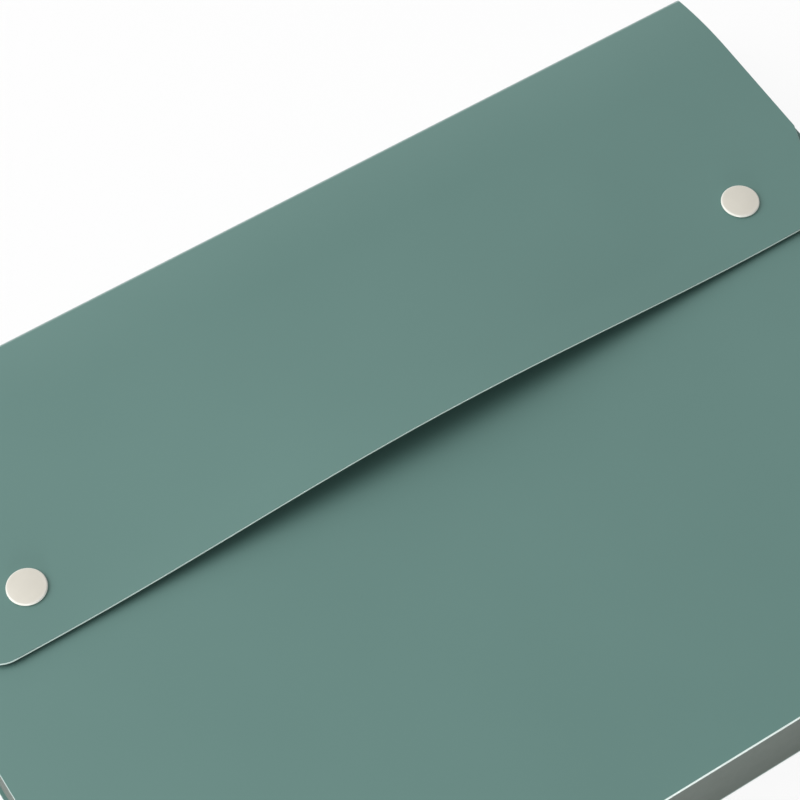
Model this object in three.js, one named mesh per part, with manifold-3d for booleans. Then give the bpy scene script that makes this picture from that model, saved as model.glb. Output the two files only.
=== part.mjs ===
// Accordion file folder for A4 sheets, lying on its back cover with the flap snapped shut.
// Millimetres, +Z up, +Y towards the top fold, origin under the middle of the back cover.

import * as THREE from 'three';
import { mergeVertices } from 'three/addons/utils/BufferGeometryUtils.js';
import Module from 'manifold-3d';

const wasm = await Module();
wasm.setup();

// Covers, spine and flap, cut from one thickness of sheet
const WIDTH = 328;
const HEIGHT = 236;
const SHEET = 0.8;
const COVER_CORNER = 4;
const CREASE_RADIUS = 1.4;
const FRONT_TOP_STEP = 25;

// Accordion body
const LEAF = 0.4;
const POCKETS = 5;
const POCKET_GAP = 5.1;
const LEAF_TOP_STEP = 1;
const BOTTOM_PANEL = 0.6;
const BOTTOM_CLEARANCE = 0.5;
const COVER_CLEARANCE = 0.3;
const TAB_WIDTH = 52;
const TAB_END_MARGIN = 10;
const TAB_RISE = 11;
const TAB_CORNER = 3;
const LABEL = 0.2;
const LABEL_MARGIN = 3;

// Side gussets: one pleated strip a side, folded in once for each pocket
const GUSSET = 0.35;
const GUSSET_INSET = 1.2;
const PLEAT_DEPTH = 13;
const PLEAT_EDGE_GAP = 0.275;
const VALLEY_FLAT = 0.5;
const GUSSET_FLANGE = 10;
const LEAF_FLANGE_GAP = 0.6;

// Flap: length down from the top fold, tapered sides, slanted ends, shoulder down to the spine, bowed edge
const FLAP_DEPTH = 100.5;
const FLAP_STRAIGHT_SIDE = 66.2;
const FLAP_TAPER = 0.9;
const FLAP_SLANT_DEG = 21;
const FLAP_CORNER = 9.3;
const SHOULDER_RUN = 27;
const SHOULDER_DROP = 3.3;
const BOW_HEIGHT = 7.7;
const BOW_TO_SNAP = 10.2;
const BOW_ROUNDNESS = 1.6;
const BOW_FADE = 1.5;

// Facets of the panels' corners, of the flap and of the snaps
const PANEL_CORNER_STEPS = 8;
const FLAP_COLUMNS = 44;
const FLAP_ROW_STEP = 8;
const SHOULDER_STEPS = 6;
const FLAP_CORNER_STEPS = 6;
const CAP_ROUND_STEPS = 3;
const CAP_CROWN_STEPS = 2;
const SNAP_SIDES = 32;

// Snap fasteners
const SNAP_FROM_SIDE = 34.4;
const SNAP_FROM_FREE_EDGE = 18.8;
const CAP_RADIUS = 6.2;
const CAP_RIM = 1.1;
const CAP_CROWN = 0.4;
const CAP_ROUND = 0.45;
const POST_RADIUS = 1.6;
const POST_CLEARANCE = 0.15;
const POST_HEAD_RADIUS = 2.3;
const POST_HEAD = 0.2;
const SOCKET_RADIUS = 5.2;
const SOCKET_HEIGHT = 0.9;
const SOCKET_WEB = 0.3;
const SOCKET_BORE_RADIUS = 3.9;
const STUD_FLANGE = 0.3;
const STUD_WEB = 0.3;
const KNOB_RADIUS = 3;
const KNOB_WAIST = 0.15;
const KNOB_HEIGHT = 0.6;
const SNAP_GAP = 0.2;

// Levels and lines that follow from the sizes above
const HALF_WIDTH = WIDTH / 2;
const BOTTOM_Y = -HEIGHT / 2;
const TOP_Y = HEIGHT / 2;
const CREASE_Y = TOP_Y - CREASE_RADIUS;
const LEAF_PITCH = POCKET_GAP + LEAF;
const BACK_LEAF_Z = SHEET;
const FRONT_LEAF_Z = BACK_LEAF_Z + POCKETS * LEAF_PITCH;
const FRONT_COVER_Z = FRONT_LEAF_Z + LEAF;
const FRONT_COVER_TOP_Z = FRONT_COVER_Z + SHEET;
const FRONT_TOP_Y = TOP_Y - FRONT_TOP_STEP;
const BODY_BOTTOM_Y = BOTTOM_Y + BOTTOM_PANEL + BOTTOM_CLEARANCE;
const BODY_TOP_Y = FRONT_TOP_Y - LEAF_TOP_STEP;
const GUSSET_X = HALF_WIDTH - GUSSET_INSET - GUSSET / 2;
const DIVIDER_HALF_WIDTH = GUSSET_X - GUSSET / 2 - COVER_CLEARANCE;
const LEAF_HALF_WIDTH = GUSSET_X - GUSSET_FLANGE - LEAF_FLANGE_GAP;
const SNAP_X = HALF_WIDTH - SNAP_FROM_SIDE;
const FREE_EDGE_Y = TOP_Y - FLAP_DEPTH;
const SNAP_Y = FREE_EDGE_Y + SNAP_FROM_FREE_EDGE;
const BOW_HALF_WIDTH = SNAP_X - BOW_TO_SNAP;
const TAB_PITCH = (2 * (LEAF_HALF_WIDTH - TAB_END_MARGIN) - TAB_WIDTH) / (POCKETS - 1);
const FLAP_UNDER_Z = FRONT_COVER_TOP_Z + STUD_FLANGE + SNAP_GAP + SOCKET_HEIGHT;
const FLAP_TOP_Z = FLAP_UNDER_Z + SHEET;
const HOLE_RADIUS = POST_RADIUS + POST_CLEARANCE;
const SLANT_START_Y = TOP_Y - FLAP_STRAIGHT_SIDE;
const CORNER_CENTRE_Y = FREE_EDGE_Y + FLAP_CORNER;
const FLAP_SLANT = THREE.MathUtils.degToRad(FLAP_SLANT_DEG);

// The shoulder is an arc that leaves the flat of the flap level and meets the upper crease at this angle
const SHOULDER_ANGLE = 2 * Math.atan(SHOULDER_DROP / SHOULDER_RUN);
const SHOULDER_RADIUS = SHOULDER_RUN / Math.sin(SHOULDER_ANGLE);
const SHOULDER_END_Y = CREASE_Y + CREASE_RADIUS * Math.sin(SHOULDER_ANGLE);
const SHOULDER_START_Y = SHOULDER_END_Y - SHOULDER_RUN;
const UPPER_CREASE_Z = FLAP_TOP_Z - SHOULDER_DROP - CREASE_RADIUS * Math.cos(SHOULDER_ANGLE);

const X_AXIS = new THREE.Vector3(1, 0, 0);
const Y_AXIS = new THREE.Vector3(0, 1, 0);
const Z_AXIS = new THREE.Vector3(0, 0, 1);

const green = new THREE.MeshStandardMaterial({ color: 0x6b8c86, roughness: 0.45, metalness: 0 });
const grey = new THREE.MeshStandardMaterial({ color: 0x6e7573, roughness: 0.5, metalness: 0 });
const cream = new THREE.MeshStandardMaterial({ color: 0xddd6cb, roughness: 0.4, metalness: 0 });
const paper = new THREE.MeshStandardMaterial({ color: 0xf2f1ec, roughness: 0.9, metalness: 0 });

// A flat panel cut to a shape drawn in plan, from zLow upwards
function panel(shape, zLow, thickness) {
  const settings = { depth: thickness, bevelEnabled: false, curveSegments: PANEL_CORNER_STEPS };
  const geometry = new THREE.ExtrudeGeometry(shape, settings);
  geometry.translate(0, 0, zLow);
  return geometry;
}

// A section drawn in the YZ plane and run along X, centred
function runAlongX(shape, length) {
  const settings = { depth: length, bevelEnabled: false, curveSegments: PANEL_CORNER_STEPS };
  const geometry = new THREE.ExtrudeGeometry(shape, settings);
  geometry.translate(0, 0, -length / 2);
  geometry.applyMatrix4(new THREE.Matrix4().makeBasis(Y_AXIS, Z_AXIS, X_AXIS));
  return geometry;
}

// A section drawn in the XZ plane and run along Y between two lines
function runAlongY(shape, yLow, yHigh) {
  const geometry = new THREE.ExtrudeGeometry(shape, { depth: yHigh - yLow, bevelEnabled: false });
  const basis = new THREE.Matrix4().makeBasis(X_AXIS, Z_AXIS, Y_AXIS.clone().negate());
  geometry.applyMatrix4(basis);
  geometry.translate(0, yHigh, 0);
  return geometry;
}

// A turned piece, its profile given as [radius, height] pairs
function turned(profile) {
  const points = profile.map(([radius, height]) => new THREE.Vector2(radius, height));
  const geometry = new THREE.LatheGeometry(points, SNAP_SIDES);
  geometry.rotateX(Math.PI / 2);
  return geometry;
}

function addHole(shape, x, y, radius) {
  const hole = new THREE.Path();
  hole.absarc(x, y, radius, 0, 2 * Math.PI, true);
  shape.holes.push(hole);
}

// Upright rectangle with rounded lower and upper corners
function coverShape(halfWidth, yLow, yHigh, lowerRadius, upperRadius) {
  const shape = new THREE.Shape();
  shape.moveTo(-halfWidth + lowerRadius, yLow);
  shape.lineTo(halfWidth - lowerRadius, yLow);
  shape.absarc(halfWidth - lowerRadius, yLow + lowerRadius, lowerRadius, -Math.PI / 2, 0);
  if (upperRadius > 0) {
    shape.absarc(halfWidth - upperRadius, yHigh - upperRadius, upperRadius, 0, Math.PI / 2);
    shape.absarc(-halfWidth + upperRadius, yHigh - upperRadius, upperRadius, Math.PI / 2, Math.PI);
  } else {
    shape.lineTo(halfWidth, yHigh);
    shape.lineTo(-halfWidth, yHigh);
  }
  shape.absarc(-halfWidth + lowerRadius, yLow + lowerRadius, lowerRadius, Math.PI, 1.5 * Math.PI);
  return shape;
}

// Leaf of the accordion body with an index tab rising from its top edge
function tabbedLeafShape(halfWidth, tabCentreX) {
  const left = tabCentreX - TAB_WIDTH / 2;
  const right = tabCentreX + TAB_WIDTH / 2;
  const tabTop = BODY_TOP_Y + TAB_RISE;
  const shape = new THREE.Shape();
  shape.moveTo(-halfWidth, BODY_BOTTOM_Y);
  shape.lineTo(halfWidth, BODY_BOTTOM_Y);
  shape.lineTo(halfWidth, BODY_TOP_Y);
  shape.lineTo(right, BODY_TOP_Y);
  shape.lineTo(right, tabTop - TAB_CORNER);
  shape.absarc(right - TAB_CORNER, tabTop - TAB_CORNER, TAB_CORNER, 0, Math.PI / 2);
  shape.absarc(left + TAB_CORNER, tabTop - TAB_CORNER, TAB_CORNER, Math.PI / 2, Math.PI);
  shape.lineTo(left, BODY_TOP_Y);
  shape.lineTo(-halfWidth, BODY_TOP_Y);
  return shape;
}

function rectangleShape(xLow, xHigh, yLow, yHigh) {
  const shape = new THREE.Shape();
  shape.moveTo(xLow, yLow);
  shape.lineTo(xHigh, yLow);
  shape.lineTo(xHigh, yHigh);
  shape.lineTo(xLow, yHigh);
  return shape;
}

// Tabs step from left to right, starting with the leaf nearest the front
function tabCentre(leafIndex) {
  return ((POCKETS - 1) / 2 - leafIndex) * TAB_PITCH;
}

function labelGeometry(leafIndex, leafZ) {
  const halfWidth = TAB_WIDTH / 2 - LABEL_MARGIN;
  const centre = tabCentre(leafIndex);
  const low = BODY_TOP_Y + LABEL_MARGIN / 2;
  const high = BODY_TOP_Y + TAB_RISE - LABEL_MARGIN / 2;
  return panel(rectangleShape(centre - halfWidth, centre + halfWidth, low, high), leafZ + LEAF, LABEL);
}

// Band of constant thickness along a folded line, mitred at each fold
function ribbonShape(line, thickness) {
  const left = [];
  const right = [];
  line.forEach((point, i) => {
    const leaving = direction(line, Math.min(i, line.length - 2));
    const arriving = direction(line, Math.max(i - 1, 0));
    const normal = new THREE.Vector2(-arriving.y, arriving.x);
    const mitre = new THREE.Vector2(-leaving.y, leaving.x).add(normal).normalize();
    const reach = thickness / 2 / mitre.dot(normal);
    left.push(point.clone().addScaledVector(mitre, reach));
    right.unshift(point.clone().addScaledVector(mitre, -reach));
  });
  return new THREE.Shape([...left, ...right]);
}

function direction(line, i) {
  return line[i + 1].clone().sub(line[i]).normalize();
}

// Section of a scored crease: an arc of sheet about the fold line
function creaseShape(centreY, centreZ, startAngle, endAngle) {
  const shape = new THREE.Shape();
  shape.absarc(centreY, centreZ, CREASE_RADIUS, startAngle, endAngle, false);
  shape.absarc(centreY, centreZ, CREASE_RADIUS - SHEET, endAngle, startAngle, true);
  return shape;
}

// Folded line of a side gusset, from its flange on the back cover to its flange under the front cover
function gussetLine(side) {
  const outer = side * GUSSET_X;
  const valley = side * (GUSSET_X - PLEAT_DEPTH);
  const flange = side * (GUSSET_X - GUSSET_FLANGE);
  const edgeHalf = LEAF / 2 + PLEAT_EDGE_GAP + GUSSET / 2;
  const endHalf = GUSSET + PLEAT_EDGE_GAP;
  const firstZ = SHEET + GUSSET / 2;
  const lastZ = FRONT_COVER_Z - GUSSET / 2;
  const points = [[flange, firstZ], [outer, firstZ]];
  for (let pocket = 0; pocket < POCKETS; pocket += 1) {
    const lowerLeafZ = BACK_LEAF_Z + LEAF / 2 + pocket * LEAF_PITCH;
    const middleZ = lowerLeafZ + LEAF_PITCH / 2;
    const lowZ = pocket === 0 ? firstZ + endHalf : lowerLeafZ + edgeHalf;
    const highZ = pocket === POCKETS - 1 ? lastZ - endHalf : lowerLeafZ + LEAF_PITCH - edgeHalf;
    points.push([outer, lowZ], [valley, middleZ - VALLEY_FLAT / 2]);
    points.push([valley, middleZ + VALLEY_FLAT / 2], [outer, highZ]);
  }
  points.push([outer, lastZ], [flange, lastZ]);
  return points.map(([x, z]) => new THREE.Vector2(x, z));
}

// Half-width of the flap at a line across it: tapered sides, slanted ends, round corners
function flapHalfWidth(y) {
  if (y >= SLANT_START_Y) {
    return HALF_WIDTH - (FLAP_TAPER * (SHOULDER_END_Y - y)) / (SHOULDER_END_Y - SLANT_START_Y);
  }
  const slantX = (at) => HALF_WIDTH - FLAP_TAPER - (SLANT_START_Y - at) * Math.tan(FLAP_SLANT);
  if (y >= CORNER_CENTRE_Y - FLAP_CORNER * Math.sin(FLAP_SLANT)) {
    return slantX(y);
  }
  const centreX = slantX(CORNER_CENTRE_Y) - FLAP_CORNER / Math.cos(FLAP_SLANT);
  const below = Math.min(CORNER_CENTRE_Y - y, FLAP_CORNER);
  return centreX + Math.sqrt(FLAP_CORNER ** 2 - below ** 2);
}

// How far the flap is bowed up off its flat: nothing at the shoulder, most at the free edge
function bow(x, y) {
  const across = Math.min(Math.abs(x) / BOW_HALF_WIDTH, 1);
  const down = Math.max((SHOULDER_START_Y - y) / (SHOULDER_START_Y - FREE_EDGE_Y), 0);
  return BOW_HEIGHT * Math.max(Math.cos((across * Math.PI) / 2), 0) ** BOW_ROUNDNESS * down ** BOW_FADE;
}

// Lines across the flap from the upper crease to the free edge, with the sheet's height and slope there
function flapStations() {
  const stations = [];
  for (let i = SHOULDER_STEPS; i >= 0; i -= 1) {
    const angle = (SHOULDER_ANGLE * i) / SHOULDER_STEPS;
    const y = SHOULDER_START_Y + SHOULDER_RADIUS * Math.sin(angle);
    stations.push({ y, z: FLAP_TOP_Z - SHOULDER_RADIUS * (1 - Math.cos(angle)), angle });
  }
  const addFlatRows = (from, to) => {
    const rows = Math.ceil((from - to) / FLAP_ROW_STEP);
    for (let i = 1; i <= rows; i += 1) {
      stations.push({ y: from + ((to - from) * i) / rows, z: FLAP_TOP_Z, angle: 0 });
    }
  };
  addFlatRows(SHOULDER_START_Y, SLANT_START_Y);
  addFlatRows(SLANT_START_Y, CORNER_CENTRE_Y - FLAP_CORNER * Math.sin(FLAP_SLANT));
  for (let i = 1; i <= FLAP_CORNER_STEPS; i += 1) {
    const angle = FLAP_SLANT + ((Math.PI / 2 - FLAP_SLANT) * i) / FLAP_CORNER_STEPS;
    stations.push({ y: CORNER_CENTRE_Y - FLAP_CORNER * Math.sin(angle), z: FLAP_TOP_Z, angle: 0 });
  }
  return stations;
}

// Upper and lower faces of the flap as two grids of points, row by row
function flapPoints() {
  const upper = [];
  const lower = [];
  for (const { y, z, angle } of flapStations()) {
    const halfWidth = flapHalfWidth(y);
    for (let i = 0; i <= FLAP_COLUMNS; i += 1) {
      const x = halfWidth * ((2 * i) / FLAP_COLUMNS - 1);
      const top = z + bow(x, y);
      upper.push([x, y, top]);
      lower.push([x, y - SHEET * Math.sin(angle), top - SHEET * Math.cos(angle)]);
    }
  }
  return [...upper, ...lower];
}

// Closed sheet over the two grids: upper face, lower face and the cut edge round them
function flapSheet() {
  const points = flapPoints();
  const columns = FLAP_COLUMNS + 1;
  const rows = points.length / columns / 2;
  const under = points.length / 2;
  const triangles = [];
  const quad = (a, b, c, d) => triangles.push(a, b, c, a, c, d);
  for (let row = 0; row + 1 < rows; row += 1) {
    for (let i = 0; i + 1 < columns; i += 1) {
      const a = row * columns + i;
      quad(a, a + columns, a + columns + 1, a + 1);
      quad(under + a, under + a + 1, under + a + columns + 1, under + a + columns);
    }
    const left = row * columns;
    const right = left + columns - 1;
    quad(left, under + left, under + left + columns, left + columns);
    quad(right, right + columns, under + right + columns, under + right);
  }
  const last = (rows - 1) * columns;
  for (let i = 0; i + 1 < columns; i += 1) {
    quad(i, i + 1, under + i + 1, under + i);
    quad(last + i, under + last + i, under + last + i + 1, last + i + 1);
  }
  const geometry = new THREE.BufferGeometry();
  geometry.setAttribute('position', new THREE.Float32BufferAttribute(points.flat(), 3));
  geometry.setIndex(triangles);
  return geometry;
}

function toSolid(geometry) {
  geometry.deleteAttribute('normal');
  geometry.deleteAttribute('uv');
  const merged = mergeVertices(geometry);
  const mesh = new wasm.Mesh({
    numProp: 3,
    vertProperties: new Float32Array(merged.attributes.position.array),
    triVerts: new Uint32Array(merged.index.array),
  });
  return new wasm.Manifold(mesh);
}

function toGeometry(solid) {
  const { vertProperties, triVerts } = solid.getMesh();
  const geometry = new THREE.BufferGeometry();
  geometry.setAttribute('position', new THREE.Float32BufferAttribute(vertProperties, 3));
  geometry.setIndex([...triVerts]);
  geometry.computeVertexNormals();
  return geometry;
}

// The flap with a hole for the post of each snap cap
function flapGeometry() {
  let flap = toSolid(flapSheet());
  for (const side of [-1, 1]) {
    const drill = new THREE.CylinderGeometry(HOLE_RADIUS, HOLE_RADIUS, 4 * SHEET, SNAP_SIDES);
    drill.rotateX(Math.PI / 2);
    drill.translate(side * SNAP_X, SNAP_Y, FLAP_TOP_Z);
    flap = flap.subtract(toSolid(drill));
  }
  return toGeometry(flap);
}

// Round cap with a soft rim and a low crown; its post passes the sheet and what is clinched on, then spreads
function capGeometry(gripped) {
  const face = [];
  for (let i = 0; i <= CAP_ROUND_STEPS; i += 1) {
    const angle = (i * Math.PI) / 2 / CAP_ROUND_STEPS;
    face.push([
      CAP_RADIUS - CAP_ROUND * (1 - Math.cos(angle)),
      CAP_RIM - CAP_ROUND + CAP_ROUND * Math.sin(angle),
    ]);
  }
  for (let i = 1; i <= CAP_CROWN_STEPS; i += 1) {
    const share = 1 - i / CAP_CROWN_STEPS;
    face.push([(CAP_RADIUS - CAP_ROUND) * share, CAP_RIM + CAP_CROWN * (1 - share ** 2)]);
  }
  return turned([
    [0, -gripped - POST_HEAD],
    [POST_HEAD_RADIUS, -gripped - POST_HEAD],
    [POST_HEAD_RADIUS, -gripped],
    [POST_RADIUS, -gripped],
    [POST_RADIUS, 0],
    [CAP_RADIUS, 0],
    ...face,
  ]);
}

// Socket ring: a thin web at the top that the cap's post grips, and a wide bore for the stud's knob
function socketGeometry() {
  return turned([
    [HOLE_RADIUS, 0],
    [HOLE_RADIUS, -SOCKET_WEB],
    [SOCKET_BORE_RADIUS, -SOCKET_WEB],
    [SOCKET_BORE_RADIUS, -SOCKET_HEIGHT],
    [SOCKET_RADIUS, -SOCKET_HEIGHT],
    [SOCKET_RADIUS, 0],
    [HOLE_RADIUS, 0],
  ]);
}

// Stud: a round flange on the cover with a hollow knob that swells towards its top
function studGeometry() {
  const top = STUD_FLANGE + KNOB_HEIGHT;
  return turned([
    [HOLE_RADIUS, 0],
    [SOCKET_RADIUS, 0],
    [SOCKET_RADIUS, STUD_FLANGE],
    [KNOB_RADIUS - KNOB_WAIST, STUD_FLANGE],
    [KNOB_RADIUS - KNOB_WAIST, STUD_FLANGE + KNOB_HEIGHT / 3],
    [KNOB_RADIUS, top - KNOB_HEIGHT / 3],
    [KNOB_RADIUS - KNOB_WAIST, top],
    [POST_HEAD_RADIUS + POST_CLEARANCE, top],
    [POST_HEAD_RADIUS + POST_CLEARANCE, STUD_WEB],
    [HOLE_RADIUS, STUD_WEB],
    [HOLE_RADIUS, 0],
  ]);
}

const folder = new THREE.Group();
folder.name = 'accordion_file_folder';

function addPiece(parent, name, geometry, material) {
  const piece = new THREE.Mesh(geometry, material);
  piece.name = name;
  parent.add(piece);
  return piece;
}

// Back cover, spine and flap: one sheet, scored at the two creases of the top fold
function addCoverSheet() {
  const backShape = coverShape(HALF_WIDTH, BOTTOM_Y, CREASE_Y, COVER_CORNER, 0);
  addPiece(folder, 'back_cover', panel(backShape, 0, SHEET), green);
  const lower = creaseShape(CREASE_Y, CREASE_RADIUS, -Math.PI / 2, 0);
  addPiece(folder, 'lower_crease', runAlongX(lower, WIDTH), green);
  const spine = rectangleShape(TOP_Y - SHEET, TOP_Y, CREASE_RADIUS, UPPER_CREASE_Z);
  addPiece(folder, 'top_spine', runAlongX(spine, WIDTH), green);
  const upper = creaseShape(CREASE_Y, UPPER_CREASE_Z, 0, Math.PI / 2 - SHOULDER_ANGLE);
  addPiece(folder, 'upper_crease', runAlongX(upper, WIDTH), green);
  addPiece(folder, 'flap', flapGeometry(), green);
}

// Front cover, with a hole for the post of each stud
function addFrontCover() {
  const shape = coverShape(HALF_WIDTH, BOTTOM_Y, FRONT_TOP_Y, COVER_CORNER, COVER_CORNER);
  addHole(shape, -SNAP_X, SNAP_Y, HOLE_RADIUS);
  addHole(shape, SNAP_X, SNAP_Y, HOLE_RADIUS);
  addPiece(folder, 'front_cover', panel(shape, FRONT_COVER_Z, SHEET), green);
}

// End leaves of the accordion body, welded to the insides of the covers, and the panel across its bottom.
// The front leaf runs down flush with the cover's lower edge, where the two are welded.
function addBodyEnds() {
  const backLeaf = tabbedLeafShape(LEAF_HALF_WIDTH, tabCentre(0));
  addPiece(folder, 'back_leaf', panel(backLeaf, BACK_LEAF_Z, LEAF), grey);
  addPiece(folder, 'index_label_1', labelGeometry(0, BACK_LEAF_Z), paper);
  const frontLeaf = rectangleShape(-LEAF_HALF_WIDTH, LEAF_HALF_WIDTH, BOTTOM_Y, BODY_TOP_Y);
  addHole(frontLeaf, -SNAP_X, SNAP_Y, HOLE_RADIUS);
  addHole(frontLeaf, SNAP_X, SNAP_Y, HOLE_RADIUS);
  addPiece(folder, 'front_leaf', panel(frontLeaf, FRONT_LEAF_Z, LEAF), grey);
  const halfWidth = HALF_WIDTH - GUSSET_INSET;
  const bottomHeight = FRONT_LEAF_Z - COVER_CLEARANCE - SHEET;
  const bottom = rectangleShape(-halfWidth, halfWidth, BOTTOM_Y, BOTTOM_Y + BOTTOM_PANEL);
  addPiece(folder, 'bottom_panel', panel(bottom, SHEET, bottomHeight), grey);
}

// Leaves between the pockets, each with its index tab and paper label
function addDividers() {
  for (let i = 1; i < POCKETS; i += 1) {
    const z = BACK_LEAF_Z + i * LEAF_PITCH;
    addPiece(folder, `divider_${i}`, panel(tabbedLeafShape(DIVIDER_HALF_WIDTH, tabCentre(i)), z, LEAF), grey);
    addPiece(folder, `index_label_${i + 1}`, labelGeometry(i, z), paper);
  }
}

// Pleated strips that close the pockets at the sides
function addGussets() {
  for (const [name, side] of [['gusset_left', -1], ['gusset_right', 1]]) {
    const section = ribbonShape(gussetLine(side), GUSSET);
    addPiece(folder, name, runAlongY(section, BODY_BOTTOM_Y, BODY_TOP_Y), grey);
  }
}

// Two snaps: cap and socket grip the flap, stud cap and stud grip the front cover
function addSnaps() {
  for (const [name, side] of [['left', -1], ['right', 1]]) {
    const cap = addPiece(folder, `snap_cap_${name}`, capGeometry(SHEET + SOCKET_WEB), cream);
    cap.position.set(side * SNAP_X, SNAP_Y, FLAP_TOP_Z);
    const socket = addPiece(folder, `snap_socket_${name}`, socketGeometry(), cream);
    socket.position.set(side * SNAP_X, SNAP_Y, FLAP_UNDER_Z);
    const stud = addPiece(folder, `snap_stud_${name}`, studGeometry(), cream);
    stud.position.set(side * SNAP_X, SNAP_Y, FRONT_COVER_TOP_Z);
    const studCap = addPiece(folder, `stud_cap_${name}`, capGeometry(LEAF + SHEET + STUD_WEB), cream);
    studCap.rotation.x = Math.PI;
    studCap.position.set(side * SNAP_X, SNAP_Y, FRONT_LEAF_Z);
  }
}

addCoverSheet();
addFrontCover();
addBodyEnds();
addDividers();
addGussets();
addSnaps();

export default folder;
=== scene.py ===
import math

import bmesh
import bpy
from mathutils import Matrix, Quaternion, Vector


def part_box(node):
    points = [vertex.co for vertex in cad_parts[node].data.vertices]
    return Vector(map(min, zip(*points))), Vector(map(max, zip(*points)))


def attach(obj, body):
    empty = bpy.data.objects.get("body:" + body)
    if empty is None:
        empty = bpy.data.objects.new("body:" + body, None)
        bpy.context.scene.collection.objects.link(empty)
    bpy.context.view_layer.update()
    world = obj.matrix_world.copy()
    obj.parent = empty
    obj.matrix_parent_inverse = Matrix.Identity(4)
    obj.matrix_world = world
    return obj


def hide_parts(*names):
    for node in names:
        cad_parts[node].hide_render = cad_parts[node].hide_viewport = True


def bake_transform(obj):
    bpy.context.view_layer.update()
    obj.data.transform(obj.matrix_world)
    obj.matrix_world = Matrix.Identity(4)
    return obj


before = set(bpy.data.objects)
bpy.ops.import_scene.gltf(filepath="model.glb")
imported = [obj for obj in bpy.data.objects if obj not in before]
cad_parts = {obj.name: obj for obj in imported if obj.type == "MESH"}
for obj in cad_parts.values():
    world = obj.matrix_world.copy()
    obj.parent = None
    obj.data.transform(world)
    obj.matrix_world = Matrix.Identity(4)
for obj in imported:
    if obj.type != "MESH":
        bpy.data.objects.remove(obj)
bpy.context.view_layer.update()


# Camera: looks down on the front cover from its lower left, close enough that the folder runs off
# three sides of the picture.
PICTURE_PIXELS = 800
FOCAL_PIXELS = 2635.9
CAMERA_AZIMUTH = math.radians(-32.815)
CAMERA_ELEVATION = math.radians(58.404)
CAMERA_ROLL = math.radians(0.314)
CAMERA_DISTANCE = 0.8068
CAMERA_TARGET = Vector((-0.002573, 0.032100, 0.0317))
SENSOR_MILLIMETRES = 36
NEAREST_SEEN = 0.01

camera_data = bpy.data.cameras.new("camera")
camera_data.sensor_width = SENSOR_MILLIMETRES
camera_data.lens = SENSOR_MILLIMETRES * FOCAL_PIXELS / PICTURE_PIXELS
camera_data.clip_start = NEAREST_SEEN
camera = bpy.data.objects.new("camera", camera_data)
bpy.context.scene.collection.objects.link(camera)
bpy.context.scene.camera = camera
towards_camera = Vector((
    math.sin(CAMERA_AZIMUTH) * math.cos(CAMERA_ELEVATION),
    -math.cos(CAMERA_AZIMUTH) * math.cos(CAMERA_ELEVATION),
    math.sin(CAMERA_ELEVATION),
))
camera.location = CAMERA_TARGET + towards_camera * CAMERA_DISTANCE
camera.rotation_mode = "QUATERNION"
level_view = (-towards_camera).to_track_quat("-Z", "Y")
camera.rotation_quaternion = level_view @ Quaternion((0, 0, 1), CAMERA_ROLL)


# Studio: a pale floor that keeps a faint shadow and is otherwise clear to the camera, so that the flap
# still shows where it hangs below it. The surround is white to the camera and its soft light fades
# towards the front. A wide lamp stands at the left, and a low one in front lights the upright edges.
class Number:
    """A number that a shader works out. Sums, differences, products and comparisons add Math nodes."""

    def __init__(self, finish, socket):
        self.finish = finish
        self.socket = socket

    def worked(self, operation, first, second):
        return self.finish.node("Math", {"operation": operation}, {0: first, 1: second})

    def __add__(self, other):
        return self.worked("ADD", self, other)

    def __sub__(self, other):
        return self.worked("SUBTRACT", self, other)

    def __rsub__(self, other):
        return self.worked("SUBTRACT", other, self)

    def __mul__(self, other):
        return self.worked("MULTIPLY", self, other)

    def __gt__(self, other):
        return self.worked("GREATER_THAN", self, other)

    def __lt__(self, other):
        return self.worked("LESS_THAN", self, other)

    __radd__ = __add__
    __rmul__ = __mul__


class Finish:
    """The nodes of one material, or of the surround."""

    def __init__(self, owner):
        owner.use_nodes = True
        self.owner = owner
        self.tree = owner.node_tree
        self.tree.nodes.clear()

    def node(self, kind, settings, inputs, output=0):
        """A node with its settings and the values or links of its sockets. Gives the chosen output."""
        node = self.tree.nodes.new("ShaderNode" + kind)
        for name, value in settings.items():
            setattr(node, name, value)
        for name, value in inputs.items():
            if isinstance(value, Number):
                self.tree.links.new(value.socket, node.inputs[name])
            else:
                node.inputs[name].default_value = value
        return Number(self, node.outputs[output]) if node.outputs else node

    def mixed(self, share, first, second):
        """Colour between two colours, which a Mix node takes at inputs 6 and 7 and gives at output 2."""
        return self.node("Mix", {"data_type": "RGBA"}, {0: share, 6: first, 7: second}, 2)


WHITE = (1, 1, 1, 1)
FLOOR_PAINT = (0.9, 0.9, 0.9, 1)
FLOOR_HALF = 4.0
FLOOR_GAP = 0.0004
FLOOR_SHADOW_SHARE = 0.08
SURROUND_LIGHT = 0.52
SURROUND_FADE = 0.46

floor_mesh = bpy.data.meshes.new("floor")
floor_mesh.from_pydata([(x * FLOOR_HALF, y * FLOOR_HALF, -FLOOR_GAP)
                        for x, y in ((-1, -1), (1, -1), (1, 1), (-1, 1))], [], [(0, 1, 2, 3)])
floor = bpy.data.objects.new("floor", floor_mesh)
bpy.context.scene.collection.objects.link(floor)

floor_finish = Finish(bpy.data.materials.new("floor"))
seen = floor_finish.node("LightPath", {}, {}, "Is Camera Ray")
painted = floor_finish.node("BsdfDiffuse", {}, {"Color": FLOOR_PAINT})
clear = floor_finish.node("BsdfTransparent", {}, {"Color": WHITE})
clearness = seen * (1 - FLOOR_SHADOW_SHARE)
floor_look = floor_finish.node("MixShader", {}, {0: clearness, 1: painted, 2: clear})
floor_finish.node("OutputMaterial", {}, {"Surface": floor_look})
floor_mesh.materials.append(floor_finish.owner)

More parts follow.
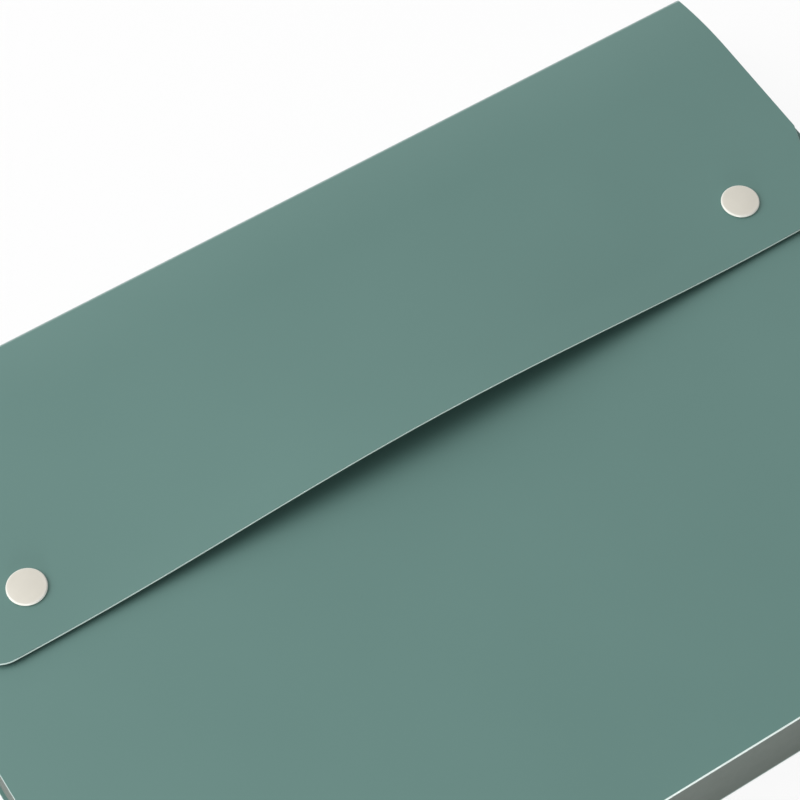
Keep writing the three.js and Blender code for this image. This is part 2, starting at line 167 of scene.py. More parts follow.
surround = Finish(bpy.data.worlds.new("surround"))
bpy.context.scene.world = surround.owner
camera_ray = surround.node("LightPath", {}, {}, "Is Camera Ray")
glossy_ray = surround.node("LightPath", {}, {}, "Is Glossy Ray")
clear_ray = surround.node("LightPath", {}, {}, "Is Transmission Ray")
shows_white = surround.node("Math", {"operation": "MAXIMUM"}, {0: camera_ray + glossy_ray, 1: clear_ray})
direction = surround.node("TexCoord", {}, {}, "Generated")
behind = surround.node("SeparateXYZ", {}, {0: direction}, "Y")
soft_light = SURROUND_LIGHT + behind * SURROUND_FADE
level = soft_light + shows_white * (1 - soft_light)
surround_light = surround.node("Background", {}, {"Color": WHITE, "Strength": level})
surround.node("OutputWorld", {}, {"Surface": surround_light})


def soft_lamp(name, place, size, power):
    """A square lamp, turned towards the place that the camera looks at."""
    lamp = bpy.data.lights.new(name, "AREA")
    lamp.size = size
    lamp.energy = power
    holder = bpy.data.objects.new(name, lamp)
    holder.location = place
    holder.rotation_euler = (CAMERA_TARGET - Vector(place)).to_track_quat("-Z", "Y").to_euler()
    bpy.context.scene.collection.objects.link(holder)


soft_lamp("key_lamp", place=(-1.28, 0.63, 1.24), size=1.5, power=26.2)
soft_lamp("front_lamp", place=(-0.60, -0.80, 0.12), size=0.25, power=6.2)

bpy.context.scene.view_settings.view_transform = "Standard"


# Green sheet: extruded polypropylene with a satin face, the same for covers, spine and flap. Where a
# knife cut it, it goes pale. Along a scored fold it goes pale too, a line that is partly the scoring's
# whitening and partly a painted highlight. A few tiny pale specks lie in it.
DEEP_GREEN = (0.100, 0.205, 0.182, 1)
LIGHT_GREEN = (0.114, 0.226, 0.202, 1)
CUT_GREEN = (0.86, 0.97, 0.93, 1)
SCORED_HIGHLIGHT_GREEN = (0.80, 0.88, 0.86, 1)
SPECK_GREEN = (0.8, 0.85, 0.83, 1)
GREEN_DRIFT = {"Scale": 14, "Detail": 3, "Roughness": 0.5}
GREEN_MOTTLE = {"Scale": 700, "Detail": 3, "Roughness": 0.6}
GREEN_GRAIN = {"Scale": 5200, "Detail": 2, "Roughness": 0.6}
SPECKS = {"Scale": 55}
SPECK_RARITY = 0.985
SPECK_RADIUS = 0.018
CUT_UNEVENNESS = 0.4
SCORE_HIGHLIGHT_STRENGTH = 0.5
GREEN_ROUGHNESS = 0.40
MOTTLE_ROUGHNESS = 0.06
GRAIN_ROUGHNESS = 0.04
FILM_BUMP = {"Strength": 0.25, "Distance": 0.00002}
COARSE_RELIEF = 0.5


def carried(finish, name, output="Fac"):
    """A value that each point of a mesh carries under a name."""
    return finish.node("Attribute", {"attribute_name": name}, {}, output)


def textured(finish, kind, inputs, output=0):
    """A texture laid out on the piece as it was made, so that it stays put when a sheet bends."""
    return finish.node(kind, {}, {"Vector": carried(finish, "rest", "Vector"), **inputs}, output)


def surface(finish, colour, roughness, bump, settings):
    """The closing nodes of a material: a Principled shader with the given links and constants."""
    inputs = {"Base Color": colour, "Roughness": roughness, "Normal": bump, **settings}
    look = finish.node("BsdfPrincipled", {}, inputs)
    finish.node("OutputMaterial", {}, {"Surface": look})
    return finish.owner


def green_sheet():
    finish = Finish(bpy.data.materials.new("green_sheet"))
    cut = carried(finish, "cut")
    score_and_highlight = carried(finish, "score_and_highlight")
    drift = textured(finish, "TexNoise", GREEN_DRIFT)
    grain = textured(finish, "TexNoise", GREEN_GRAIN)
    mottle = textured(finish, "TexNoise", GREEN_MOTTLE)
    from_speck = textured(finish, "TexVoronoi", SPECKS, "Distance")
    chance = textured(finish, "TexVoronoi", SPECKS, "Color")
    chosen = finish.node("SeparateColor", {}, {0: chance}, "Red") > SPECK_RARITY
    speck = chosen * (from_speck < SPECK_RADIUS)
    paleness = cut * (1 - CUT_UNEVENNESS / 2 + mottle * CUT_UNEVENNESS)
    body = finish.mixed(drift, DEEP_GREEN, LIGHT_GREEN)
    pale = finish.mixed(paleness, body, CUT_GREEN)
    # The pale line along a scored fold is partly whitening and partly a painted highlight
    scored = finish.mixed(score_and_highlight * SCORE_HIGHLIGHT_STRENGTH, pale, SCORED_HIGHLIGHT_GREEN)
    colour = finish.mixed(speck, scored, SPECK_GREEN)
    roughness = GREEN_ROUGHNESS + mottle * MOTTLE_ROUGHNESS + grain * GRAIN_ROUGHNESS
    bump = finish.node("Bump", {}, {**FILM_BUMP, "Height": grain + mottle * COARSE_RELIEF})
    return surface(finish, colour, roughness, bump, {"Specular IOR Level": 0.5})


GREEN = green_sheet()


# Cover sheet, back: the back cover, the scored crease and the spine are one piece of the green sheet, so
# one mesh runs through all three, folded at the crease.
EASE = 0.00012
EASE_STEPS = 2
CORNER_STEPS = 10
CREASE_STEPS = 12
SCORE_SHARE = 0.12
SCORE_MIDDLE = 0.15
SCORE_FADE = 0.0002
COVER_CORNER = 0.004
COVER_ROWS = 12
SPINE_ROWS = 3
BACK_COLUMNS = 16
BACK_EDGE_WHITENESS = 0.35
SHARP_BEND = math.radians(20)


def inset(ring, distance):
    """A closed outline, anticlockwise round material, moved in by a distance and mitred at corners."""
    moved = []
    for i, point in enumerate(ring):
        arriving = (point - ring[i - 1]).normalized()
        leaving = (ring[(i + 1) % len(ring)] - point).normalized()
        normal = Vector((-arriving.y, arriving.x))
        mitre = (normal + Vector((-leaving.y, leaving.x))).normalized()
        moved.append(point + mitre * (distance / mitre.dot(normal)))
    return moved


def rim(thickness):
    """Section of a cut edge, eased at both faces: pairs of distance in from the cut and depth."""
    turns = [math.pi / 2 * i / EASE_STEPS for i in range(EASE_STEPS + 1)]
    upper = [(EASE * (1 - math.sin(a)), EASE * (1 - math.cos(a))) for a in turns]
    return upper + [(away, thickness - depth) for away, depth in reversed(upper)]


def finished_piece(name, mesh, flat, marks, finish):
    """Makes a bmesh a piece with its flat coordinates, marks and material. Sharp bends stay crisp."""
    bmesh.ops.recalc_face_normals(mesh, faces=mesh.faces)
    data = bpy.data.meshes.new(name)
    mesh.to_mesh(data)
    mesh.free()
    rest = data.attributes.new("rest", "FLOAT_VECTOR", "POINT")
    rest.data.foreach_set("vector", [c for place in flat for c in place])
    for mark, values in marks.items():
        data.attributes.new(mark, "FLOAT", "POINT").data.foreach_set("value", values)
    data.shade_smooth()
    data.set_sharp_from_angle(angle=SHARP_BEND)
    data.materials.append(finish)
    piece = bpy.data.objects.new(name, data)
    bpy.context.scene.collection.objects.link(piece)
    return piece


def folded_sheet(name, rows, half_width, columns, thickness, fold, score_and_highlight, whiteness):
    """A sheet with both ends alike, cut flat and then folded. Rows are distances along the flat sheet
    and half_width is its half-width at one. Fold says where a point (across, along, depth) goes."""
    flat = [Vector(((2 * i / columns - 1) * half_width(s), s)) for s in rows for i in range(columns + 1)]
    width, last = columns + 1, len(rows) - 1
    border = list(range(width))
    border += [row * width + columns for row in range(1, last)]
    border += [last * width + i for i in range(columns, -1, -1)]
    border += [row * width for row in range(last - 1, 0, -1)]
    ring = [flat[i] for i in border]
    levels = rim(thickness)
    points, cut = [], []
    for depth in (0, thickness):
        face = list(flat)
        for i, point in zip(border, inset(ring, EASE)):
            face[i] = point
        points += [(p.x, p.y, depth) for p in face]
        cut += [0.0] * len(face)
    for away, depth in levels[1:-1]:
        points += [(p.x, p.y, depth) for p in inset(ring, away)]
        cut += [whiteness(p.y) for p in ring]
    mesh = bmesh.new()
    verts = [mesh.verts.new(fold(*point)) for point in points]
    quads = [(r * width + i, r * width + i + 1, (r + 1) * width + i + 1, (r + 1) * width + i)
             for r in range(last) for i in range(columns)]
    for quad in quads:
        mesh.faces.new([verts[i] for i in quad])
        mesh.faces.new([verts[len(flat) + i] for i in reversed(quad)])
    loops = [[verts[i] for i in border]]
    for k in range(len(levels) - 2):
        start = 2 * len(flat) + k * len(ring)
        loops.append(verts[start:start + len(ring)])
    loops.append([verts[len(flat) + i] for i in border])
    join_loops(mesh, loops)
    marks = {"cut": cut, "score_and_highlight": [score_and_highlight(s) for _, s, _ in points]}
    return finished_piece(name, mesh, [(x, s, -d) for x, s, d in points], marks, GREEN)


def join_loops(mesh, loops):
    """Faces between each loop of points and the next one of the same length."""
    for first, second in zip(loops, loops[1:]):
        for i in range(len(first)):
            mesh.faces.new([first[i - 1], first[i], second[i], second[i - 1]])


def spread(start, end, steps):
    """Evenly spaced numbers, with both ends."""
    return [start + (end - start) * i / steps for i in range(steps + 1)]


def corner_rows(start, radius, steps):
    """Distances along a sheet through a round corner, from its edge to where the side is straight."""
    return [start + radius * (1 - math.cos(math.pi / 2 * i / steps)) for i in range(steps + 1)]


back_low, back_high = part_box("back_cover")
spine_low, spine_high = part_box("top_spine")
SHEET = back_high.z - back_low.z
HALF_WIDTH = back_high.x
CREASE_RADIUS = spine_low.z
COVER_RUN = back_high.y - back_low.y
BACK_CREASE_RUN = CREASE_RADIUS * math.pi / 2
SPINE_RUN = spine_high.z - spine_low.z


def fold_back(across, along, depth):
    """Level under the folder, then round the lower crease and up the spine."""
    turn = min(max(along - COVER_RUN, 0) / CREASE_RADIUS, math.pi / 2)
    flat = min(along, COVER_RUN)
    rise = max(along - COVER_RUN - BACK_CREASE_RUN, 0)
    radius = CREASE_RADIUS - depth
    y = back_low.y + flat + radius * math.sin(turn)
    z = CREASE_RADIUS - radius * math.cos(turn) + rise
    return Vector((across, y, z))


def back_half_width(along):
    """Half-width of the back cover: rounded at its lower corners and straight above them."""
    below = COVER_CORNER - min(along, COVER_CORNER)
    return HALF_WIDTH - COVER_CORNER + math.sqrt(COVER_CORNER ** 2 - below ** 2)


def crease_highlight_mark(start, run):
    """How pale the crease is painted, partly the scoring tool's whitening and partly a painted highlight:
    most along the two borders of the crease.
    """
    def mark(along):
        share = (along - start) / run
        from_border = min(share, 1 - share)
        if not 0 <= share <= 1:
            return 0.0
        return 1.0 if from_border < SCORE_SHARE else SCORE_MIDDLE
    return mark


back_rows = corner_rows(0, COVER_CORNER, CORNER_STEPS)
back_rows += spread(COVER_CORNER, COVER_RUN - SCORE_FADE, COVER_ROWS)[1:]
back_rows += spread(COVER_RUN, COVER_RUN + BACK_CREASE_RUN, CREASE_STEPS)
spine_start = COVER_RUN + BACK_CREASE_RUN
back_rows += spread(spine_start + SCORE_FADE, spine_start + SPINE_RUN, SPINE_ROWS)
back_sheet = folded_sheet("back_sheet", back_rows, back_half_width, BACK_COLUMNS, SHEET, fold_back,
                          crease_highlight_mark(COVER_RUN, BACK_CREASE_RUN), lambda along: BACK_EDGE_WHITENESS)
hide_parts("back_cover", "lower_crease", "top_spine")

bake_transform(back_sheet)


# Cover sheet, flap: goes on from the spine through the upper crease and a low shoulder and lies level
# over the front cover, with slanted ends and round corners. Between its snaps the free edge bows up.
SHOULDER_RUN = 0.027
SHOULDER_DROP = 0.0033
FLAP_CORNER = 0.0093
FLAP_STRAIGHT_SIDE = 0.0662
FLAP_TAPER = 0.0009
FLAP_SLANT = math.radians(21)
BOW_HEIGHT = 0.0077
BOW_TO_SNAP = 0.0102
BOW_SPREAD = 0.0136
BOW_FADE = 1.5
FLAP_COLUMNS = 120
FLAP_ROW_STEP = 0.0025
SHOULDER_STEPS = 14
FLAP_CORNER_STEPS = 12
EDGE_WHITENESS = 0.67

cap_low, cap_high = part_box("snap_cap_right")
SNAP_X = (cap_low.x + cap_high.x) / 2
SNAP_Y = (cap_low.y + cap_high.y) / 2
BOW_HALF_WIDTH = SNAP_X - BOW_TO_SNAP
SHOULDER_ANGLE = 2 * math.atan(SHOULDER_DROP / SHOULDER_RUN)
SHOULDER_RADIUS = SHOULDER_RUN / math.sin(SHOULDER_ANGLE)
CREASE_TURN = math.pi / 2 - SHOULDER_ANGLE
FLAP_CREASE_RUN = CREASE_RADIUS * CREASE_TURN
SHOULDER_LENGTH = SHOULDER_RADIUS * SHOULDER_ANGLE
SHOULDER_END_Y = back_high.y + CREASE_RADIUS * math.sin(SHOULDER_ANGLE)
SHOULDER_START_Y = SHOULDER_END_Y - SHOULDER_RUN
FLAP_TOP_Z = spine_high.z + SHOULDER_DROP + CREASE_RADIUS * math.cos(SHOULDER_ANGLE)
FREE_EDGE_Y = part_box("flap")[0].y
CORNER_CENTRE_Y = FREE_EDGE_Y + FLAP_CORNER
SLANT_START_Y = spine_high.y - FLAP_STRAIGHT_SIDE
FLAP_FLAT_START = FLAP_CREASE_RUN + SHOULDER_LENGTH


def flap_line(along):
    """Outer face of the flap in its side view: y, z and the angle of its outward side from level."""
    if along < FLAP_CREASE_RUN:
        turn = along / CREASE_RADIUS
        y = back_high.y + CREASE_RADIUS * math.cos(turn)
        return y, spine_high.z + CREASE_RADIUS * math.sin(turn), turn
    if along < FLAP_FLAT_START:
        turn = CREASE_TURN + (along - FLAP_CREASE_RUN) / SHOULDER_RADIUS
        y = SHOULDER_START_Y + SHOULDER_RADIUS * math.cos(turn)
        return y, FLAP_TOP_Z - SHOULDER_RADIUS * (1 - math.sin(turn)), turn
    return SHOULDER_START_Y - (along - FLAP_FLAT_START), FLAP_TOP_Z, math.pi / 2


def bow(x, y):
    """Rise of the flap off its level: none at the shoulder and at the snaps, most at the middle of the
    free edge. Along that edge it also reaches a little past the snaps."""
    past_cap = max((cap_low.y - y) / (cap_low.y - FREE_EDGE_Y), 0)
    across = min(abs(x) / (BOW_HALF_WIDTH + BOW_SPREAD * past_cap), 1)
    down = max((SHOULDER_START_Y - y) / (SHOULDER_START_Y - FREE_EDGE_Y), 0)
    return BOW_HEIGHT * math.cos(across * math.pi / 2) ** 2 * down ** BOW_FADE


def fold_flap(across, along, depth):
    """Round the crease, down the shoulder and out level, lifted by the bow."""
    y, z, turn = flap_line(along)
    return Vector((across, y - depth * math.cos(turn), z - depth * math.sin(turn) + bow(across, y)))


def slant_x(y):
    """Where the flap's slanted end lies, at a place along the folder."""
    return HALF_WIDTH - FLAP_TAPER - (SLANT_START_Y - y) * math.tan(FLAP_SLANT)


def flap_half_width(along):
    """Half-width of the flap: a slight taper, then the slanted end, then its round corner."""
    y = flap_line(along)[0]
    if y >= SLANT_START_Y:
        return HALF_WIDTH - FLAP_TAPER * max(SHOULDER_END_Y - y, 0) / (SHOULDER_END_Y - SLANT_START_Y)
    if y >= CORNER_CENTRE_Y - FLAP_CORNER * math.sin(FLAP_SLANT):
        return slant_x(y)
    below = min(CORNER_CENTRE_Y - y, FLAP_CORNER)
    corner_centre_x = slant_x(CORNER_CENTRE_Y) - FLAP_CORNER / math.cos(FLAP_SLANT)
    return corner_centre_x + math.sqrt(FLAP_CORNER ** 2 - below ** 2)


def along_at(y):
    """Distance along the flat sheet of a place on the flap's level part."""
    return FLAP_FLAT_START + SHOULDER_START_Y - y


def even_rows(start, end):
    """Rows that are at most one step apart, without the first."""
    return spread(start, end, math.ceil((end - start) / FLAP_ROW_STEP))[1:]


corner_start = along_at(CORNER_CENTRE_Y - FLAP_CORNER * math.sin(FLAP_SLANT))
flap_rows = spread(0, FLAP_CREASE_RUN, CREASE_STEPS)
flap_rows += spread(FLAP_CREASE_RUN + SCORE_FADE, FLAP_FLAT_START, SHOULDER_STEPS)
flap_rows += even_rows(FLAP_FLAT_START, along_at(SLANT_START_Y))
flap_rows += even_rows(along_at(SLANT_START_Y), corner_start)
for angle in spread(FLAP_SLANT, math.pi / 2, FLAP_CORNER_STEPS)[1:]:
    flap_rows.append(along_at(CORNER_CENTRE_Y - FLAP_CORNER * math.sin(angle)))

flap_sheet = folded_sheet("flap_sheet", flap_rows, flap_half_width, FLAP_COLUMNS, SHEET, fold_flap,
                          crease_highlight_mark(0, FLAP_CREASE_RUN), lambda along: EDGE_WHITENESS)
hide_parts("flap", "upper_crease")

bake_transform(flap_sheet)


# Front cover: a separate plate of the same sheet with round corners, punched for the two studs. Its lower
# edge is welded to the front leaf of the body; its white there is partly left by the weld and partly a
# painted highlight.
STUD_HOLE = 0.00175
HOLE_STEPS = 40
PALE_BORDER = 0.0003
WELD_AND_HIGHLIGHT_WHITENESS = 1.0
WELD_HIGHLIGHT_REACH = 0.001


def arc(centre, radius, start, end, steps):
    """Points on an arc, in degrees from the first axis."""
    angles = [math.radians(a) for a in spread(start, end, steps)]
    return [Vector((centre[0] + radius * math.cos(a), centre[1] + radius * math.sin(a))) for a in angles]


def round_hole(x, y, radius):
    """Runs clockwise, because the material lies outside it."""
    return arc((x, y), radius, 360, 0, HOLE_STEPS)[:-1]


def near_weld_highlight(from_bottom, elsewhere):
    """How pale a cut edge is: white within reach of the weld along the folder's bottom edge, partly the
    weld's whitening and partly a painted highlight.
    """
    return WELD_AND_HIGHLIGHT_WHITENESS if from_bottom < WELD_HIGHLIGHT_REACH else elsewhere


def level_at(top):
    """Lays a plate level, with its outer face at a height."""
    return lambda x, y, depth: Vector((x, y, top - depth))


def plate(name, rings, thickness, place, finish, whiteness=lambda x, y: EDGE_WHITENESS):
    """A flat panel cut to an outline with holes, its cut edge eased at both faces. Place says where a
    point of it (across, along, depth) lies. Only a welded edge is pale over its faces' borders too, and
    that pale border is a painted highlight."""
    mesh = bmesh.new()
    levels = [(PALE_BORDER, 0), *rim(thickness), (PALE_BORDER, thickness)]
    last = len(levels) - 1
    points, cut, ends = [], [], []
    for ring in rings:
        loops = []
        for level, (away, depth) in enumerate(levels):
            moved = inset(ring, away)
            loops.append([mesh.verts.new(place(p.x, p.y, depth)) for p in moved])
            points += [(p.x, p.y, -depth) for p in moved]
            for point in moved:
                share = whiteness(point.x, point.y)
                bare = level in (0, last) or level in (1, last - 1) and share < WELD_AND_HIGHLIGHT_WHITENESS
                cut.append(0.0 if bare else share)
        join_loops(mesh, loops)
        ends.append((loops[0], loops[-1]))
    for side in (0, 1):
        edges = [mesh.edges.get((loop[i - 1], loop[i])) for loop in (pair[side] for pair in ends)
                 for i in range(len(loop))]
        bmesh.ops.triangle_fill(mesh, use_beauty=True, use_dissolve=False, edges=edges)
    marks = {"cut": cut, "score_and_highlight": [0.0] * len(points)}
    return finished_piece(name, mesh, points, marks, finish)


def cover_outline(low, high, lower_radius, upper_radius):
    """Upright rectangle about the middle line with round corners, anticlockwise from the lower left."""
    x = high.x
    return [
        *arc((-x + lower_radius, low.y + lower_radius), lower_radius, 180, 270, CORNER_STEPS),
        *arc((x - lower_radius, low.y + lower_radius), lower_radius, 270, 360, CORNER_STEPS),
        *arc((x - upper_radius, high.y - upper_radius), upper_radius, 0, 90, CORNER_STEPS),
        *arc((-x + upper_radius, high.y - upper_radius), upper_radius, 90, 180, CORNER_STEPS),
    ]


cover_low, cover_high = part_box("front_cover")
stud_holes = [round_hole(side * SNAP_X, SNAP_Y, STUD_HOLE) for side in (-1, 1)]
front_outline = cover_outline(cover_low, cover_high, COVER_CORNER, COVER_CORNER)
front_sheet = plate("front_sheet", [front_outline, *stud_holes], SHEET, level_at(cover_high.z),
                    GREEN, lambda x, y: near_weld_highlight(y - cover_low.y, EDGE_WHITENESS))
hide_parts("front_cover")
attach(front_sheet, "front")


# Accordion body: leaves of thin grey film. The end leaves are welded to the covers and the four between
# them part the pockets. A thicker panel closes the bottom and folds over into the front leaf.
POCKETS = 5
TAB_WIDTH = 0.052
TAB_RISE = 0.011
TAB_CORNER = 0.003
TAB_CORNER_STEPS = 8
TAB_ROOT = 0.0012
TAB_ROOT_STEPS = 5
FILM_EDGE_WHITENESS = 0.4
WELD_DEPTH = 0.0008
BOTTOM_FOLD_GAP = 0.00002
DEEP_GREY = (0.107, 0.129, 0.114, 1)
LIGHT_GREY = (0.126, 0.150, 0.133, 1)
CUT_GREY = (0.88, 0.96, 0.93, 1)
FOLD_HIGHLIGHT_GREY = (0.50, 0.54, 0.52, 1)
GREY_DRIFT = {"Scale": 18, "Detail": 3}
GREY_STREAK = {"Scale": 260, "Detail": 2, "Distortion": 0.4}
GREY_GRAIN = {"Scale": 4200, "Detail": 2, "Roughness": 0.6}
GREY_CUT_STRENGTH = 0.95
GREY_FOLD_HIGHLIGHT_STRENGTH = 0.12
GREY_ROUGHNESS = 0.42
STREAK_ROUGHNESS = 0.08


def grey_film():
    finish = Finish(bpy.data.materials.new("grey_film"))
    cut = carried(finish, "cut")
    score_and_highlight = carried(finish, "score_and_highlight")
    drift = textured(finish, "TexNoise", GREY_DRIFT)
    grain = textured(finish, "TexNoise", GREY_GRAIN)
    streak = textured(finish, "TexNoise", GREY_STREAK)
    body = finish.mixed(drift, DEEP_GREY, LIGHT_GREY)
    pale = finish.mixed(cut * cut * GREY_CUT_STRENGTH, body, CUT_GREY)
    # Pale lines along the gusset's folds: partly the film whitened where it folds, partly a painted
    # highlight
    colour = finish.mixed(score_and_highlight * streak * GREY_FOLD_HIGHLIGHT_STRENGTH, pale, FOLD_HIGHLIGHT_GREY)
    roughness = GREY_ROUGHNESS + streak * STREAK_ROUGHNESS
    bump = finish.node("Bump", {}, {**FILM_BUMP, "Height": grain + streak * COARSE_RELIEF})
    return surface(finish, colour, roughness, bump, {"Specular IOR Level": 0.3})


GREY = grey_film()


def leaf_outline(low, high, tab_centre):
    """Rectangle with an index tab on its top edge. Small hollow corners soften the tab's root."""
    left, right = tab_centre - TAB_WIDTH / 2, tab_centre + TAB_WIDTH / 2
    tab_top, leaf_top = high.y, high.y - TAB_RISE
    return [
        Vector((low.x, low.y)), Vector((high.x, low.y)), Vector((high.x, leaf_top)),
        *arc((right + TAB_ROOT, leaf_top + TAB_ROOT), TAB_ROOT, 270, 180, TAB_ROOT_STEPS),
        *arc((right - TAB_CORNER, tab_top - TAB_CORNER), TAB_CORNER, 0, 90, TAB_CORNER_STEPS),
        *arc((left + TAB_CORNER, tab_top - TAB_CORNER), TAB_CORNER, 90, 180, TAB_CORNER_STEPS),
        *arc((left - TAB_ROOT, leaf_top + TAB_ROOT), TAB_ROOT, 0, -90, TAB_ROOT_STEPS),
        Vector((low.x, leaf_top)),
    ]


def film_plate(node, name, rings, body, low, high, whiteness=lambda x, y: FILM_EDGE_WHITENESS):
    """A level sheet of the film in a node's place, riding on a body."""
    piece = plate(name, rings, high.z - low.z, level_at(high.z), GREY, whiteness)
    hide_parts(node)
    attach(piece, body)


def tab_middle(number):
    """Middle of the index tab under a label, from the label's own box."""
    low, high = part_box(f"index_label_{number}")
    return (low.x + high.x) / 2


leaf_bodies = {"back_leaf": "back", **{f"divider_{i}": f"divider_{i}" for i in range(1, POCKETS)}}
for number, (node, body) in enumerate(leaf_bodies.items(), start=1):
    low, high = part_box(node)
    film_plate(node, f"{node}_film", [leaf_outline(low, high, tab_middle(number))], body, low, high)

leaf_low, leaf_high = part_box("front_leaf")
weld_x, weld_y = HALF_WIDTH - COVER_CORNER, leaf_low.y + WELD_DEPTH
front_leaf_outline = [Vector(p) for p in (
    (-weld_x, leaf_low.y), (weld_x, leaf_low.y), (weld_x, weld_y), (leaf_high.x, weld_y),
    (leaf_high.x, leaf_high.y), (leaf_low.x, leaf_high.y), (leaf_low.x, weld_y), (-weld_x, weld_y))]
# The front leaf's lower edge is painted white near the weld: partly the weld's whitening, partly a
# painted highlight
film_plate("front_leaf", "front_leaf_film", [front_leaf_outline, *stud_holes], "front",
           leaf_low, leaf_high, lambda x, y: near_weld_highlight(y - leaf_low.y, FILM_EDGE_WHITENESS))

bottom_low, bottom_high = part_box("bottom_panel")
bottom_top = leaf_low.z - BOTTOM_FOLD_GAP
bottom_outline = [Vector(p) for p in ((bottom_low.x, bottom_low.z), (bottom_high.x, bottom_low.z),
                                      (bottom_high.x, bottom_top), (bottom_low.x, bottom_top))]
bottom_film = plate("bottom_film", [bottom_outline], bottom_high.y - bottom_low.y,
                    lambda x, z, depth: Vector((x, bottom_low.y + depth, z)), GREY,
                    lambda x, z: FILM_EDGE_WHITENESS)
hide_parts("bottom_panel")
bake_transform(bottom_film)


# Index labels: slips of uncoated white paper with small round corners, left blank. One is stuck to
# each tab and rides with its leaf.
LABEL_CORNER = 0.0008
DEEP_PAPER = (0.80, 0.79, 0.74, 1)
LIGHT_PAPER = (0.90, 0.89, 0.86, 1)
PAPER_FIBRE = {"Scale": 1500, "Detail": 5, "Roughness": 0.7, "Distortion": 1.2}
PAPER_CLOUD = {"Scale": 120, "Detail": 3}
FIBRE_SHARE = 0.6
PAPER_BUMP = {"Strength": 0.5, "Distance": 0.00003}
PAPER_ROUGHNESS = 0.82
FIBRE_ROUGHNESS = 0.12


def label_paper():
    finish = Finish(bpy.data.materials.new("label_paper"))
    fibre = textured(finish, "TexNoise", PAPER_FIBRE)
    cloud = textured(finish, "TexNoise", PAPER_CLOUD)
    lightness = FIBRE_SHARE * fibre + (1 - FIBRE_SHARE) * cloud
    colour = finish.mixed(lightness, DEEP_PAPER, LIGHT_PAPER)
    bump = finish.node("Bump", {}, {**PAPER_BUMP, "Height": fibre})
    return surface(finish, colour, PAPER_ROUGHNESS + fibre * FIBRE_ROUGHNESS, bump, {})


PAPER = label_paper()

for number, body in enumerate(leaf_bodies.values(), start=1):
    low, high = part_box(f"index_label_{number}")
    middle = Vector((tab_middle(number), 0, 0))
    centred = cover_outline(low - middle, high - middle, LABEL_CORNER, LABEL_CORNER)
    outline = [point + middle.xy for point in centred]
    label = plate(f"label_{number}_paper", [outline], high.z - low.z, level_at(high.z),
                  PAPER)
    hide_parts(f"index_label_{number}")
    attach(label, body)


# Side gussets: one strip of the grey film a side, pleated inwards once for each pocket and folded in
# against both covers as flanges.
GUSSET = 0.00035
PLEAT_DEPTH = 0.013
VALLEY_FLAT = 0.0005
PLEAT_EDGE_GAP = 0.000275
GUSSET_FLANGE = 0.010
FOLD_RADIUS = 0.0004
FOLD_STEPS = 8
SAME_POINT = 1e-6

gusset_low, gusset_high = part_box("gusset_right")
divider_low, divider_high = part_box("divider_1")
LEAF = divider_high.z - divider_low.z
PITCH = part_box("divider_2")[0].z - divider_low.z
GUSSET_X = gusset_high.x - GUSSET / 2


def rounded(line, radius):
    """A folded line with its folds rounded, and how far each point lies in a fold, from 0 to 1."""
    points, folds = [line[0]], [0.0]
    for before, corner, after in zip(line, line[1:], line[2:]):
        trim = min(radius, (before - corner).length / 2, (after - corner).length / 2)
        start = corner + (before - corner).normalized() * trim
        end = corner + (after - corner).normalized() * trim
        for t in spread(0, 1, FOLD_STEPS):
            point = start * (1 - t) ** 2 + corner * 2 * t * (1 - t) + end * t ** 2
            if (point - points[-1]).length > SAME_POINT:
                points.append(point)
                folds.append(math.sin(math.pi * t))
    return points + [line[-1]], folds + [0.0]


def leaf_middle(number):
    """Height of the middle of a leaf, counted up from the back leaf."""
    return back_high.z + LEAF / 2 + number * PITCH


def pleat_line(pocket, side):
    """The gusset's line across one pocket, from the middle of one leaf to the middle of the next. At
    the covers it has a flange instead."""
    outer, valley, flange = GUSSET_X, GUSSET_X - PLEAT_DEPTH, GUSSET_X - GUSSET_FLANGE
    lower_z = leaf_middle(pocket)
    upper_z = lower_z + PITCH
    edge = LEAF / 2 + PLEAT_EDGE_GAP + GUSSET / 2
    lowest, highest = gusset_low.z + GUSSET / 2, gusset_high.z - GUSSET / 2
    end_edge = GUSSET + PLEAT_EDGE_GAP
    start = [(flange, lowest), (outer, lowest), (outer, lowest + end_edge)]
    end = [(outer, highest - end_edge), (outer, highest), (flange, highest)]
    if pocket > 0:
        start = [(outer, lower_z), (outer, lower_z + edge)]
    if pocket < POCKETS - 1:
        end = [(outer, upper_z - edge), (outer, upper_z)]
    middle = (lower_z + upper_z) / 2
    fold = [(valley, middle - VALLEY_FLAT / 2), (valley, middle + VALLEY_FLAT / 2)]
    return [Vector((side * x, z)) for x, z in start + fold + end]


def ribbon(name, line, folds, thickness, y_low, y_high):
    """A strip of film along a folded line, run along the folder from y_low to y_high."""
    left, right = [], []
    for i, point in enumerate(line):
        arriving = point - line[i - 1] if i else line[1] - line[0]
        leaving = line[i + 1] - point if i + 1 < len(line) else arriving
        normal = Vector((-arriving.y, arriving.x)).normalized()
        mitre = (normal + Vector((-leaving.y, leaving.x)).normalized()).normalized()
        reach = mitre * (thickness / 2 / mitre.dot(normal))
        left.append(point + reach)
        right.append(point - reach)
    mesh = bmesh.new()
    loops, points = [], []
    for y in (y_low, y_high):
        section = left + right[::-1]
        loops.append([mesh.verts.new((p.x, y, p.y)) for p in section])
        points += [(p.x, y, p.y) for p in section]
    join_loops(mesh, loops)
    count = len(line)
    for loop in loops:
        for i in range(count - 1):
            mesh.faces.new([loop[i], loop[i + 1], loop[2 * count - 2 - i], loop[2 * count - 1 - i]])
    # The folds are marked for the same pale lines, partly whitening and partly a painted highlight
    score_and_highlight = (folds + folds[::-1]) * 2
    marks = {"cut": [0.0] * len(points), "score_and_highlight": score_and_highlight}
    return finished_piece(name, mesh, points, marks, GREY)


